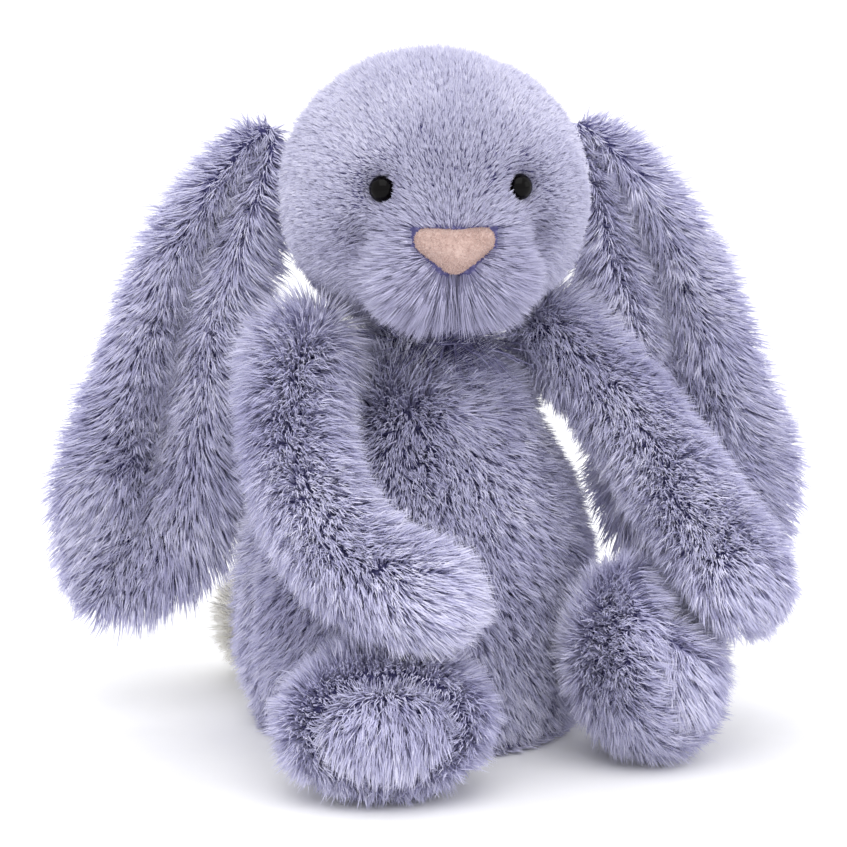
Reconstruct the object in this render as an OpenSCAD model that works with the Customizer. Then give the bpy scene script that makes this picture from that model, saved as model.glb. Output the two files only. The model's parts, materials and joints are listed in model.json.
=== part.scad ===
// Stuffed bunny rabbit with long lop ears, seated with its paws on its feet.
// Millimetres, +Z up, the belly faces -Y. The toy's own left is +X and its own right is -X.

/* [Body] */
// Height of the stuffed body, from the base to the neck
body_h = 127; // [120:1:127]
// Width of the belly where it is widest
belly_w = 119; // [100:1:120]
// Depth of the belly, front to back
belly_d = 108; // [84:1:110]
// Width across the chest, under the shoulders
chest_w = 68; // [60:1:70]
// Diameter of the flat base that the toy sits on
base_d = 103; // [80:1:104]
// Height of the bag of beads in the seat
pouch_h = 24; // [14:1:30]

/* [Head] */
// Width of the head
head_w = 98; // [84:1:100]
// Height of the head
head_h = 89; // [76:1:90]
// Depth of the head, from the nose to the back
head_d = 101; // [86:1:104]
// Height of the head's centre above the floor
head_z = 176; // [176:1:184]
// How far the head is turned towards the toy's own right
head_turn = 17; // [0:0.5:20]
// Diameter of each eye
eye_d = 8.4; // [5:0.1:10]
// Width of the nose
nose_w = 26; // [18:0.5:28]
// Height of the nose
nose_h = 15; // [10:0.5:18]

/* [Ears] */
// Length of an ear, from its root to its tip
ear_l = 176; // [120:1:180]
// Width of an ear near its tip, laid flat
ear_w = 68; // [40:1:70]
// How much a fold along the toy's right ear takes off its width
ear_fold = 5; // [0:1:14]
// Thickness of an ear, both layers together
ear_t = 10; // [6:0.5:11]
// Angle at which the ears leave the head, below level
ear_drop = 58; // [50:1:66]

/* [Arms] */
// Length of an arm, from the shoulder to the tip of the paw
arm_l = 143; // [130:1:146]
// Thickness of the upper arm
arm_d = 33; // [24:1:34]
// Width of the paw
paw_w = 40; // [30:1:41]

/* [Legs] */
// Length of a leg, from the hip to the sole
leg_l = 53; // [48:1:56]
// Thickness of a leg at the hip
hip_d = 36; // [30:1:38]
// Length of a sole, from heel to toe
foot_l = 67; // [50:1:68]
// Width of a sole
foot_w = 49; // [40:1:50]

/* [Tail] */
// Diameter of the pompom tail
tail_d = 37; // [24:1:38]
// How far round from the middle of the back the tail sits
tail_turn = 18; // [0:1:30]

/* [Cloth] */
// Thickness of the plush, backing and packed pile together
cloth = 2.2; // [1.2:0.1:3]
// Width of a sewn seam between two panels
seam = 0.3; // [0.2:0.05:0.5]
// Space between the plush and the filling inside it
slack = 1; // [1:0.1:1.6]

/* [Hidden] */

plush = "#8f8cc0";
filling = "#f2f0ea";
left = 1;
right = -1;
floor_gap = 0.4; // soft parts stop this far above the floor, which only the base touches

// ---- smooth curves and tubes -------------------------------------------------------------

// The value at t = 0..1 on a smooth curve through k, a list of numbers or points evenly spaced over t
function curve(k, t) =
  let(n = len(k) - 1, x = min(max(t, 0), 1) * n, i = min(floor(x), n - 1), f = x - i,
      a = k[max(i - 1, 0)], b = k[i], c = k[i + 1], d = k[min(i + 2, n)])
  (2 * b + (c - a) * f + (2 * a - 5 * b + 4 * c - d) * f * f + (3 * b - a - 3 * c + d) * f * f * f) / 2;

// The direction at azimuth az, from straight ahead towards the toy's left, and el above level
function heading(az, el) = [sin(az) * cos(el), -cos(az) * cos(el), sin(el)];

// The points of a centre line that starts at p and follows the directions az and el over its length l
steps = 24;
function trail(p, l, az, el) =
  [for (i = 0, q = p; i <= steps;
        q = q + heading(curve(az, (i + 0.5) / steps), curve(el, (i + 0.5) / steps)) * l / steps,
        i = i + 1) q];

// A stuffed shape: a tube round a centre line. half_w and half_h are its half sizes along the line,
// twist turns its section, cap gives the part of its length that each rounded end takes, and
// flats are the planes it is pressed flat against, each a point and the way out of the shape.
function stuffed(p, l, az, el, half_w, half_h, cap, twist = [0, 0], flats = []) =
  [trail(p, l, az, el), l, az, el, half_w, half_h, cap, twist, flats];

// Point q moved back inside each of the flats from the i-th on, and inwards by e
function pressed(q, flats, e, i = 0) =
  i >= len(flats) ? q :
  pressed(q - flats[i][1] * max(0, (q - flats[i][0]) * flats[i][1] + e), flats, e, i + 1);

// How far the rounded ends draw the section in, 0 at an end and 1 between the caps
function drawn_in(cap, t) =
  t < cap[0] ? sqrt(1 - pow(1 - t / cap[0], 2)) :
  1 - t < cap[1] ? sqrt(1 - pow(1 - (1 - t) / cap[1], 2)) : 1;

// The point of shape s at t along it and v degrees round it, on the skin moved inwards by e
function skin(s, t, v, e = 0) =
  let(k = e / s[1], u = s[6][0] > 0 ? k + t * (1 - 2 * k) : t * (1 - k),
      az = curve(s[2], u), el = curve(s[3], u), tw = curve(s[7], u), f = drawn_in(s[6], t),
      across = [cos(az), sin(az), 0], up = [-sin(az) * sin(el), cos(az) * sin(el), cos(el)],
      w = across * cos(tw) + up * sin(tw), h = up * cos(tw) - across * sin(tw),
      q = curve(s[0], u) + w * (curve(s[4], u) - e) * f * cos(v) + h * (curve(s[5], u) - e) * f * sin(v))
  pressed(q, s[8], e);

// n + 1 places along a shape, closer together towards both of its ends
crowding = 0.86;
function places(n) = [for (i = [0:n]) i / n - crowding * sin(360 * i / n) / (2 * PI)];

function ends_at(s, t) = (t < 0.0001 && s[6][0] > 0) || (t > 0.9999 && s[6][1] > 0);

// Two triangles for the corners a, b, c, d, without those that a shape's end has drawn to a line
function tiles(a, b, c, d) =
  [for (f = [[a, b, c], [a, c, d]]) if (f[0] != f[1] && f[1] != f[2] && f[2] != f[0]) f];

// A cut piece of plush on shape s: a curved sheet from e0 to e1 under the skin, over the places ts
// along the shape and the angles vs round it
module panel(s, ts, vs, e0 = 0, e1 = cloth) {
  n = len(ts) - 1;
  ring = abs(vs[len(vs) - 1] - vs[0]) >= 359.9;
  m = ring ? len(vs) - 1 : len(vs);
  last = ring ? m : m - 1;
  under = m * (n + 1);
  points = [for (e = [e0, e1]) for (t = ts) for (j = [0:m - 1]) skin(s, t, vs[j], e)];
  function o(i, j) = i * m + (ends_at(s, ts[i]) ? 0 : j % m);
  function u(i, j) = under + o(i, j);
  faces = concat(
    [for (i = [0:n - 1]) for (j = [0:last - 1])
      each tiles(o(i, j), o(i + 1, j), o(i + 1, j + 1), o(i, j + 1))],
    [for (i = [0:n - 1]) for (j = [0:last - 1])
      each tiles(u(i, j), u(i, j + 1), u(i + 1, j + 1), u(i + 1, j))],
    [for (i = [0:n - 1]) if (!ring) each tiles(o(i + 1, 0), o(i, 0), u(i, 0), u(i + 1, 0))],
    [for (i = [0:n - 1]) if (!ring) each tiles(o(i, last), o(i + 1, last), u(i + 1, last), u(i, last))],
    [for (j = [0:last - 1]) each tiles(o(0, j), o(0, j + 1), u(0, j + 1), u(0, j))],
    [for (j = [0:last - 1]) each tiles(o(n, j + 1), o(n, j), u(n, j), u(n, j + 1))]);
  polyhedron(points, faces, convexity = 6);
}

// A solid filling of shape s under the skin by e, over the places ts, flat where it is cut across
module filled(s, ts, around, e) {
  n = len(ts) - 1;
  points = concat(
    [for (t = ts) for (j = [0:around - 1]) skin(s, t, 360 * j / around, e)],
    [for (t = [ts[0], ts[n]]) (skin(s, t, 0, e) + skin(s, t, 180, e)) / 2]);
  function o(i, j) = i * around + (ends_at(s, ts[i]) ? 0 : j % around);
  middle = around * (n + 1);
  faces = concat(
    [for (i = [0:n - 1]) for (j = [0:around - 1])
      each tiles(o(i, j), o(i + 1, j), o(i + 1, j + 1), o(i, j + 1))],
    [for (j = [0:around - 1]) if (!ends_at(s, ts[0])) [middle, o(0, j), o(0, j + 1)]],
    [for (j = [0:around - 1]) if (!ends_at(s, ts[n])) [middle + 1, o(n, j + 1), o(n, j)]]);
  polyhedron(points, faces, convexity = 6);
}

// The angles round a shape from a to b in n steps, held back from each end by half a seam, where
// r is the shape's usual half size
function sector(a, b, n, r) =
  let(d = seam / 2 / r * 180 / PI) [for (j = [0:n]) a + d + (b - a - 2 * d) * j / n];

// ---- torso -------------------------------------------------------------------------------

torso_at = [0, 0, floor_gap];
function torso_sizes(wide) =
  [base_d / 2 + 1.5, wide / 2, wide / 2, (wide + chest_w) / 4 + 6, chest_w / 2 + 5, chest_w / 2 - 6];
torso_shape = stuffed(torso_at, body_h, [0, 0], [90, 90], torso_sizes(belly_w), torso_sizes(belly_d),
  [0, 0.15]);
// n + 1 places along a shape from a to its far end, closer together towards that end
function places_up(n, a = 0) = [for (i = [0:n]) a + (1 - a) * sin(90 * i / n)];
torso_places = places_up(12);

module torso_panel(a, b, n) {
  color(plush) panel(torso_shape, torso_places, sector(a, b, n, belly_w / 2));
}
module torso_front() { torso_panel(180, 360, 12); }
module torso_back_left() { torso_panel(0, 90, 6); }
module torso_back_right() { torso_panel(90, 180, 6); }

base_t = 2.4;
module torso_base() {
  color(plush) translate([torso_at.x, torso_at.y, 0]) cylinder(h = base_t, d = base_d - cloth);
}

pouch_top = pouch_h / body_h;
module torso_filling() {
  color(filling)
    filled(torso_shape, places_up(9, pouch_top), 20, cloth + slack);
}
module bead_pouch() {
  color("#d9d4c7") translate([0, 0, base_t + slack])
    filled(torso_shape, [for (i = [0:3]) i / 3 * (pouch_top - (base_t + 2 * slack) / body_h)], 20,
      cloth + 2 * slack + 1);
}

// ---- neck --------------------------------------------------------------------------------

neck_at = [3.5, -6, torso_at.z + body_h + 1];
neck_t = 2;
module neck_gather() {
  color(plush) translate(neck_at) cylinder(h = neck_t, d = chest_w / 2 - 4);
}

// ---- head --------------------------------------------------------------------------------

// The head is made facing -Y with its centre at the origin, and then turned and put in place
head_at = [neck_at.x, neck_at.y, head_z];
module on_head() { translate(head_at) rotate([0, 0, -head_turn]) children(); }

head_low = 13.5; // the nose is this far below the head's centre
head_shape = stuffed([0, -head_d / 2 - 3, -head_low], head_d + 3, [180, 180], [4, 26, 6, 0, 0],
  [head_w / 2 - 8, head_w / 2 - 1, head_w / 2, head_w / 2, head_w / 2 - 2],
  [head_h / 2 - 8, head_h / 2 - 2, head_h / 2, head_h / 2, head_h / 2 - 2],
  [0.5, 0.5]);
head_places = places(16);

module head_panel(a, b, n) {
  on_head() panel(head_shape, head_places, sector(a, b, n, head_w / 2));
}
eye_t = 0.138; // place of the eyes along the head, from the nose to the back
eye_v = 44; // angle of the eyes above level, round the head
shank_d = 3.2;

// Puts children on the head's skin at the toy's eye on one side, with +Z along the shank outwards
module at_eye(side) {
  v = side == right ? eye_v : 180 - eye_v;
  p = skin(head_shape, eye_t, v);
  way = cross(skin(head_shape, eye_t, v + 3) - skin(head_shape, eye_t, v - 3),
              skin(head_shape, eye_t + 0.01, v) - skin(head_shape, eye_t - 0.01, v));
  n = way / norm(way);
  on_head() translate(p) rotate([0, acos(n.z), atan2(n.y, n.x)]) children();
}
module shank_hole(side) {
  at_eye(side) translate([0, 0, -2 * cloth - 3]) cylinder(h = 2 * cloth + 6, d = shank_d + 0.4);
}
module head_side(side) {
  color(plush) difference() {
    if (side == right) head_panel(-50, 62, 9);
    else head_panel(118, 230, 9);
    shank_hole(side);
  }
}
module head_side_left() { head_side(left); }
module head_side_right() { head_side(right); }
module head_gusset() { color(plush) head_panel(62, 118, 5); }
module head_chin() { color(plush) head_panel(230, 310, 6); }

washer_d = 11;
module head_filling() {
  color(filling) difference() {
    on_head() filled(head_shape, places(12), 20, cloth + slack);
    for (side = [left, right])
      at_eye(side) translate([0, 0, -15]) cylinder(h = 20, d = washer_d + 1.2);
  }
}

module eye(side) {
  color("#120e12") at_eye(side) union() {
    intersection() {
      translate([0, 0, 0.4]) sphere(d = eye_d, $fn = 48);
      translate([0, 0, 0.4]) cylinder(h = eye_d, d = eye_d + 2);
    }
    translate([0, 0, -10]) cylinder(h = 11, d = shank_d);
  }
}
module eye_left() { eye(left); }
module eye_right() { eye(right); }

module eye_washer(side) {
  color("#e8e6e0") at_eye(side) translate([0, 0, -cloth - 2.2]) difference() {
    cylinder(h = 1.2, d = washer_d);
    translate([0, 0, -1]) cylinder(h = 4, d = shank_d + 0.1);
  }
}
module eye_washer_left() { eye_washer(left); }
module eye_washer_right() { eye_washer(right); }

// The nose is a rounded triangle of short velour, cut from a dished shell over the muzzle
nose_r = 34;
nose_t = 2;
module nose() {
  tip = skin(head_shape, 0, 0);
  corner = 3.2;
  color("#d9b0ad") on_head() translate(tip + [0, -1, 2.2]) rotate([90, 0, 0]) intersection() {
    translate([0, 0, -12]) linear_extrude(height = 24) hull() {
      for (x = [-1, 1])
        translate([x * (nose_w / 2 - corner), nose_h / 2 - corner]) circle(r = corner, $fn = 24);
      translate([0, corner + 1.2 - nose_h / 2]) circle(r = corner + 1.2, $fn = 24);
    }
    translate([0, 0, -nose_r + nose_t + 0.5]) difference() {
      sphere(r = nose_r, $fn = 64);
      sphere(r = nose_r - nose_t, $fn = 64);
    }
  }
}

// One line of thread down from the nose, and a curved line each way from its foot
mouth_w = 20;
mouth_drop = 11;
thread_d = 1;
function on_muzzle(x, z) =
  let(v = atan2(z, x), t = norm([x, z]) / (head_w / 2))
  skin(head_shape, 0.5 * (1 - sqrt(1 - min(t * t, 0.9))), 180 - v, -1.2);
module mouth_stitch() {
  bend = [for (i = [0:10]) let(x = -1 + i / 5)
    [x * mouth_w / 2, -mouth_drop - 6 + 3.5 * abs(x) * (1 - 0.3 * abs(x))]];
  color("#6f6b99") on_head() {
    for (i = [0:9])
      hull() for (k = [i, i + 1]) translate(on_muzzle(bend[k].x, bend[k].y)) sphere(d = thread_d, $fn = 6);
  }
}

// ---- ears --------------------------------------------------------------------------------

ear_root = [head_w / 2 + 0.5, 22.5, 22];
function ear_shape(side) =
  let(tip = (side == right ? ear_w - ear_fold : ear_w) / 2)
  stuffed([side * ear_root.x, ear_root.y, ear_root.z], ear_l,
    [side * 90, side * 90], [-ear_drop, -68, -78, -72, -48],
    [ear_t / 2, ear_t / 2], [9, tip * 0.64, tip * 0.84, tip, tip * 0.8], [0.05, 0.22]);

// One layer of an ear, from edge to edge round the angle that faces front or back
module ear_layer(side, front) {
  facing = front == (side == left) ? 180 : 0;
  color(plush) on_head()
    panel(ear_shape(side), places(15), [for (j = [0:8]) facing - 90 + 180 * j / 8], 0, ear_t / 2 - 0.2);
}
module ear_left_front() { ear_layer(left, true); }
module ear_left_back() { ear_layer(left, false); }
module ear_right_front() { ear_layer(right, true); }
module ear_right_back() { ear_layer(right, false); }

// ---- where a paw rests on a foot ---------------------------------------------------------

// Both are pressed flat there, on each side of a plane that faces rest_way
rest_gap = [1.8, 5];
rest_at = [[-29, -82, 51], [63, -87, 45]];
rest_way = [heading(10, 75), heading(50, 45)];

// ---- arms --------------------------------------------------------------------------------

shoulder = [chest_w / 2 + 10, -8, 126];
arm_az = [[-44, 2, 62], [39, 15, 11]];
arm_el = [[-32, -43, -4], [-30, -40, -38]];
function arm_shape(side) =
  let(k = side == right ? 0 : 1, back = heading(arm_az[k][0], arm_el[k][0]) * arm_d / 2)
  stuffed([side * shoulder.x, shoulder.y, shoulder.z] - back, arm_l, arm_az[k], arm_el[k],
    [arm_d / 2, arm_d / 2, arm_d / 2 + 1, paw_w / 2 - 1, paw_w / 2],
    [arm_d / 2, arm_d / 2, arm_d / 2 + 1, paw_w / 2 - 2, paw_w / 2 - 2],
    [arm_d / 2 / arm_l, paw_w / 2.2 / arm_l], [0, 0],
    [[rest_at[k] + rest_way[k] * rest_gap[k] / 2, -rest_way[k]]]);

module arm_panel(side, a) {
  color(plush) panel(arm_shape(side), places(16), sector(a, a + 180, 7, arm_d / 2));
}
module arm_left_outer() { arm_panel(left, 0); }
module arm_left_inner() { arm_panel(left, 180); }
module arm_right_outer() { arm_panel(right, 0); }
module arm_right_inner() { arm_panel(right, 180); }
module arm_filling(side) { color(filling) filled(arm_shape(side), places(14), 12, cloth + slack); }
module arm_left_filling() { arm_filling(left); }
module arm_right_filling() { arm_filling(right); }

// ---- legs --------------------------------------------------------------------------------

hip_out = 78; // from the torso's middle line to the hip
hip_z = [24, 33];
hip_az = [-34, 34]; // where the hips are, round the torso
leg_az = [-22, 28]; // where the legs point
roll = [4, 100]; // how far each foot is rolled up from lying on its side
function leg_shape(side) =
  let(k = side == right ? 0 : 1,
      hip = [torso_at.x, torso_at.y, hip_z[k]] + heading(hip_az[k], 0) * (hip_out - hip_d / 2))
  stuffed(hip, leg_l, [leg_az[k], leg_az[k]], [0, 4],
    [hip_d / 2, foot_l / 2 - 3, foot_l / 2, foot_l / 2],
    [hip_d / 2, foot_w / 2 - 2, foot_w / 2, foot_w / 2],
    [hip_d / 2 / leg_l, 0.4], [roll[k], roll[k]],
    [[[0, 0, floor_gap], [0, 0, -1]], [rest_at[k] - rest_way[k] * rest_gap[k] / 2, rest_way[k]]]);

leg_places = places(16);
sole_row = 12;
function first_rows(n) = [for (i = [0:n]) leg_places[i]];
function last_rows(n) =
  [for (i = [n:len(leg_places) - 1]) leg_places[i] + (i == n ? seam / leg_l : 0)];
module leg_panel(side, a) {
  color(plush) panel(leg_shape(side), first_rows(sole_row), sector(a, a + 180, 9, foot_w / 2));
}
module leg_left_outer() { leg_panel(left, 90); }
module leg_left_inner() { leg_panel(left, -90); }
module leg_right_outer() { leg_panel(right, -90); }
module leg_right_inner() { leg_panel(right, 90); }
module leg_sole(side) { color(plush) panel(leg_shape(side), last_rows(sole_row), [for (j = [0:18]) 20 * j]); }
module leg_left_sole() { leg_sole(left); }
module leg_right_sole() { leg_sole(right); }
module leg_filling(side) { color(filling) filled(leg_shape(side), places(10), 16, cloth + slack); }
module leg_left_filling() { leg_filling(left); }
module leg_right_filling() { leg_filling(right); }

// ---- tail --------------------------------------------------------------------------------

tail_z = 20;
module tail() {
  out = belly_d / 2 + tail_d / 2 + 1.6;
  color("#f4efe6")
    translate(torso_at + [-sin(tail_turn) * out, cos(tail_turn) * out, tail_z - torso_at.z])
      sphere(d = tail_d, $fn = 48);
}

torso_front();
torso_back_left();
torso_back_right();
torso_base();
torso_filling();
bead_pouch();
neck_gather();
head_side_left();
head_side_right();
head_gusset();
head_chin();
head_filling();
eye_left();
eye_right();
eye_washer_left();
eye_washer_right();
nose();
mouth_stitch();
ear_left_front();
ear_left_back();
ear_right_front();
ear_right_back();
arm_left_outer();
arm_left_inner();
arm_left_filling();
arm_right_outer();
arm_right_inner();
arm_right_filling();
leg_left_outer();
leg_left_inner();
leg_left_sole();
leg_left_filling();
leg_right_outer();
leg_right_inner();
leg_right_sole();
leg_right_filling();
tail();
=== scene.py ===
import bpy
import bmesh
import json
import math
import zlib
import numpy as np
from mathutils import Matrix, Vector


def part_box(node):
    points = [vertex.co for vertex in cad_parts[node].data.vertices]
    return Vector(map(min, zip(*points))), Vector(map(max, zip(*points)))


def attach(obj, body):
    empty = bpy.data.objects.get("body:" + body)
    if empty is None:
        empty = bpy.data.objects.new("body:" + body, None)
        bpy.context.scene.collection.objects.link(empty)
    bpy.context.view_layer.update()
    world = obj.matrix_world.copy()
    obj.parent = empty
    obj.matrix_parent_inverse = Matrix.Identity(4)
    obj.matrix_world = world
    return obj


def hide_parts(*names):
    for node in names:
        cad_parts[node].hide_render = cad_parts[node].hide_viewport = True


# A stuffed bunny in long violet plush, seated. Lengths are in millimetres until a mesh is written in metres.

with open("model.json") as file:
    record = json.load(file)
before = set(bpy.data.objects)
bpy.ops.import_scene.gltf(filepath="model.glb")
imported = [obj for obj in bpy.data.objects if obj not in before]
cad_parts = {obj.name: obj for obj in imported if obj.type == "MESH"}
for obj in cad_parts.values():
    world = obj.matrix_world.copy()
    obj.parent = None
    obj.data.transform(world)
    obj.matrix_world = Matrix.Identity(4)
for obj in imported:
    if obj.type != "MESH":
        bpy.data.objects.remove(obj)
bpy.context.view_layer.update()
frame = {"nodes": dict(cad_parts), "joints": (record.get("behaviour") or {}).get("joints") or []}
pivot = {j["name"]: np.array(j["pos_m"]) * 1000 for j in frame["joints"]}
print("frame loaded:", len(frame["nodes"]), "nodes")

left, right = 1, -1
floorGap = 0.4  # the soft parts stop this far above the floor


# ---- curves and stuffed shapes

# Catmull-Rom curve through evenly spaced keys, numbers or points, at t = 0..1
def curve(keys, t):
    keys, t = np.asarray(keys, float), np.asarray(t, float)
    n = len(keys) - 1
    x = np.clip(t, 0, 1) * n
    i = np.minimum(x.astype(int), n - 1)
    f = (x - i)[..., None] if keys.ndim > 1 else x - i
    a, b, c, d = keys[np.maximum(i - 1, 0)], keys[i], keys[i + 1], keys[np.minimum(i + 2, n)]
    return (2 * b + (c - a) * f + (2 * a - 5 * b + 4 * c - d) * f**2 + (3 * b - a - 3 * c + d) * f**3) / 2


# Direction at azimuth az from straight ahead towards the toy's left, and el above level, in degrees
def heading(az, el):
    az, el = np.radians(az), np.radians(el)
    return np.stack([np.sin(az) * np.cos(el), -np.cos(az) * np.cos(el), np.sin(el)], -1)


def unit(a):
    return a / np.maximum(np.linalg.norm(a, axis=-1, keepdims=True), 1e-9)


def bell(d, width):
    return np.exp(-(d / width) ** 2)


# A stuffed tube: its centre line follows the headings az and el over its length, its section is an
# ellipse of half sizes w and h turned by twist, each end closes as a quarter ellipse over its cap's
# share of the length, and flats are planes it is pressed against. Gives form(t, v, depth), where t
# runs along, v round it in degrees, and depth is how far under the outside
def stuffed(start, length, az, el, w, h, cap, twist=(0, 0), flats=()):
    steps = 24
    middle = (np.arange(steps) + 0.5) / steps
    ways = heading(curve(az, middle), curve(el, middle))
    line = np.asarray(start, float) + np.vstack([[0, 0, 0], np.cumsum(ways, 0)]) * length / steps

    def form(t, v, depth=0):
        t, v = np.broadcast_arrays(np.asarray(t, float), np.radians(np.asarray(v, float)))
        k = depth / length
        u = k + t * (1 - 2 * k) if cap[0] > 0 else t * (1 - k)
        a, e, tw = np.radians(curve(az, u)), np.radians(curve(el, u)), np.radians(curve(twist, u))
        near = np.sqrt(np.clip(1 - (1 - t / cap[0]) ** 2, 0, 1)) if cap[0] > 0 else np.ones_like(t)
        far = np.sqrt(np.clip(1 - (1 - (1 - t) / cap[1]) ** 2, 0, 1))
        f = np.where(t < cap[0], near, np.where(1 - t < cap[1], far, 1))
        across = np.stack([np.cos(a), np.sin(a), 0 * a], -1)
        up = np.stack([-np.sin(a) * np.sin(e), np.cos(a) * np.sin(e), np.cos(e)], -1)
        side = across * np.cos(tw)[..., None] + up * np.sin(tw)[..., None]
        rise = up * np.cos(tw)[..., None] - across * np.sin(tw)[..., None]
        q = (curve(line, u) + side * ((curve(w, u) - depth) * f * np.cos(v))[..., None]
             + rise * ((curve(h, u) - depth) * f * np.sin(v))[..., None])
        for at, way in flats:
            q = q - way * np.maximum(0, (q - at) @ way + depth)[..., None]
        return q

    return form


# Outward normal of a form: the cross product of its steps round and along, kept off the closed ends
def normalOf(form, t, v, depth=0):
    t = np.clip(t, 0.004, 0.996)
    along = form(t + 0.003, v, depth) - form(t - 0.003, v, depth)
    round_ = form(t, v + 1.5, depth) - form(t, v - 1.5, depth)
    return unit(np.cross(round_, along))


# A form moved along its normals by relief(points, t, v) in millimetres
def shaped(form, relief):
    def result(t, v, depth=0):
        t, v = np.broadcast_arrays(np.asarray(t, float), np.asarray(v, float))
        p = form(t, v, depth)
        return p + normalOf(form, t, v, depth) * relief(p, t, v)[..., None]
    return result


# A form turned about Z by angle degrees and moved
def placed(form, angle, at):
    c, s = math.cos(math.radians(angle)), math.sin(math.radians(angle))
    turn = np.array([[c, -s, 0], [s, c, 0], [0, 0, 1]])

    def result(t, v, depth=0):
        return form(t, v, depth) @ turn.T + at
    return result


# ---- noise

# A number from 0 to 1 for each whole-numbered cell, by mixing its three coordinates' bits
def hashed(cell, seed):
    x = cell.astype(np.int64)
    n = (x[..., 0] * 73856093) ^ (x[..., 1] * 19349663) ^ (x[..., 2] * 83492791) ^ (seed * 2654435761)
    for _ in range(3):
        n = n & 0xFFFFFFFF
        n = ((n >> 16) ^ n) * 0x45D9F3B
    return ((n & 0xFFFFFFFF) ^ ((n >> 16) & 0xFFFF)) / 2**32


# Smooth noise from -1 to 1 at points p, with bumps of the given size: the cells' numbers blended smoothly
def noise(p, size, seed):
    q = p / size
    base = np.floor(q)
    f = q - base
    f = f * f * (3 - 2 * f)
    total = 0
    for i in range(8):
        corner = np.array([i & 1, i >> 1 & 1, i >> 2 & 1])
        share = np.prod(np.where(corner, f, 1 - f), -1)
        total = total + share * hashed(base + corner, seed)
    return total * 2 - 1


# For each point the way to the nearest of some scattered tuft middles, and a number for that tuft
def nearestTuft(p, size, seed):
    base = np.floor(p / size)
    best = np.full(len(p), 1e9)
    way, number = np.zeros_like(p), np.zeros(len(p))
    for i in range(27):
        cell = base + np.array([i % 3 - 1, i // 3 % 3 - 1, i // 9 - 1])
        middle = (cell + np.stack([hashed(cell, seed + k) for k in range(3)], -1)) * size
        d = np.linalg.norm(middle - p, axis=-1)
        nearer = d < best
        best = np.where(nearer, d, best)
        way = np.where(nearer[:, None], middle - p, way)
        number = np.where(nearer, hashed(cell, seed + 3), number)
    return way, number


# ---- meshes

# Writes points in millimetres and faces, a list of arrays of equal-sided faces, into a smooth mesh
# object; slots gives each face's material number
def meshPiece(name, points, faces, materials, slots=None, body=None):
    points = np.asarray(points, float).reshape(-1, 3) * 0.001
    mesh = bpy.data.meshes.new(name)
    mesh.vertices.add(len(points))
    mesh.vertices.foreach_set("co", points.astype(np.float32).ravel())
    counts = np.concatenate([np.full(len(f), f.shape[1]) for f in faces])
    corners = np.concatenate([f.ravel() for f in faces])
    mesh.loops.add(len(corners))
    mesh.loops.foreach_set("vertex_index", corners.astype(np.int32))
    mesh.polygons.add(len(counts))
    mesh.polygons.foreach_set("loop_start", np.concatenate([[0], np.cumsum(counts)[:-1]]).astype(np.int32))
    for m in materials:
        mesh.materials.append(m)
    if slots is not None:
        mesh.polygons.foreach_set("material_index", np.asarray(slots, np.int32))
    mesh.polygons.foreach_set("use_smooth", np.ones(len(counts), bool))
    mesh.update(calc_edges=True)
    mesh.validate()
    piece = bpy.data.objects.new(name, mesh)
    bpy.context.scene.collection.objects.link(piece)
    if body:
        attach(piece, body)
    return piece


# Four-sided faces of a grid of rows by columns, numbered from first
def gridFaces(rows, columns, first=0, flip=False):
    i, j = np.meshgrid(np.arange(rows - 1), np.arange(columns - 1), indexing="ij")
    a = (first + i * columns + j).ravel()
    faces = np.stack([a, a + columns, a + columns + 1, a + 1], -1)
    return faces[:, ::-1] if flip else faces


def mergeDoubles(piece, distance=1e-6):
    b = bmesh.new()
    b.from_mesh(piece.data)
    bmesh.ops.remove_doubles(b, verts=b.verts, dist=distance)
    bmesh.ops.dissolve_degenerate(b, edges=b.edges, dist=distance)
    b.to_mesh(piece.data)
    b.free()
    piece.data.polygons.foreach_set("use_smooth", np.ones(len(piece.data.polygons), bool))


# A cut piece of cloth on a form, closed all round: its outside at depth outer and inside at depth inner
def clothPanel(name, form, ts, vs, outer, inner, material, body, cad, rows=44, columns=40):
    t, v = np.meshgrid(np.linspace(*ts, rows), np.linspace(*vs, columns), indexing="ij")
    closed = abs(vs[1] - vs[0]) >= 359
    points = np.concatenate([form(t, v, outer).reshape(-1, 3), form(t, v, inner).reshape(-1, 3)])
    n = rows * columns
    top, under = gridFaces(rows, columns), gridFaces(rows, columns, n, True)
    row, column = np.arange(columns - 1), np.arange(rows - 1) * columns
    rims = [np.stack([row, row + 1, row + 1 + n, row + n], -1)]
    last = (rows - 1) * columns
    rims += [np.stack([last + row + 1, last + row, last + row + n, last + row + 1 + n], -1)]
    if not closed:
        rims += [np.stack([column + columns, column, column + n, column + columns + n], -1)]
        far = column + columns - 1
        rims += [np.stack([far, far + columns, far + columns + n, far + n], -1)]
    piece = meshPiece(name, points, [top, under] + rims, [material], body=body)
    mergeDoubles(piece)
    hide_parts(cad)
    return piece


# Loose filling in a form, lumpy by noise, closed at both ends by a point in the middle of the end
def fillingPiece(name, form, ts, depth, lumps, material, body, cad, rows=56, columns=72):
    t, v = np.meshgrid(np.linspace(*ts, rows), np.linspace(0, 360, columns + 1), indexing="ij")
    p = form(t, v, depth)
    out = normalOf(form, t, v, depth)
    p = p - out * (lumps * (0.8 + 0.5 * noise(p, 9, 3) + 0.3 * noise(p, 4, 4)))[..., None]
    ends = [np.broadcast_to(p[k].mean(0), (1, columns + 1, 3)) for k in (0, -1)]
    p = np.concatenate([ends[0], p, ends[1]])
    piece = meshPiece(name, p, [gridFaces(rows + 2, columns + 1)], [material], body=body)
    mergeDoubles(piece)
    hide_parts(cad)
    return piece


# ---- pile

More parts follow.
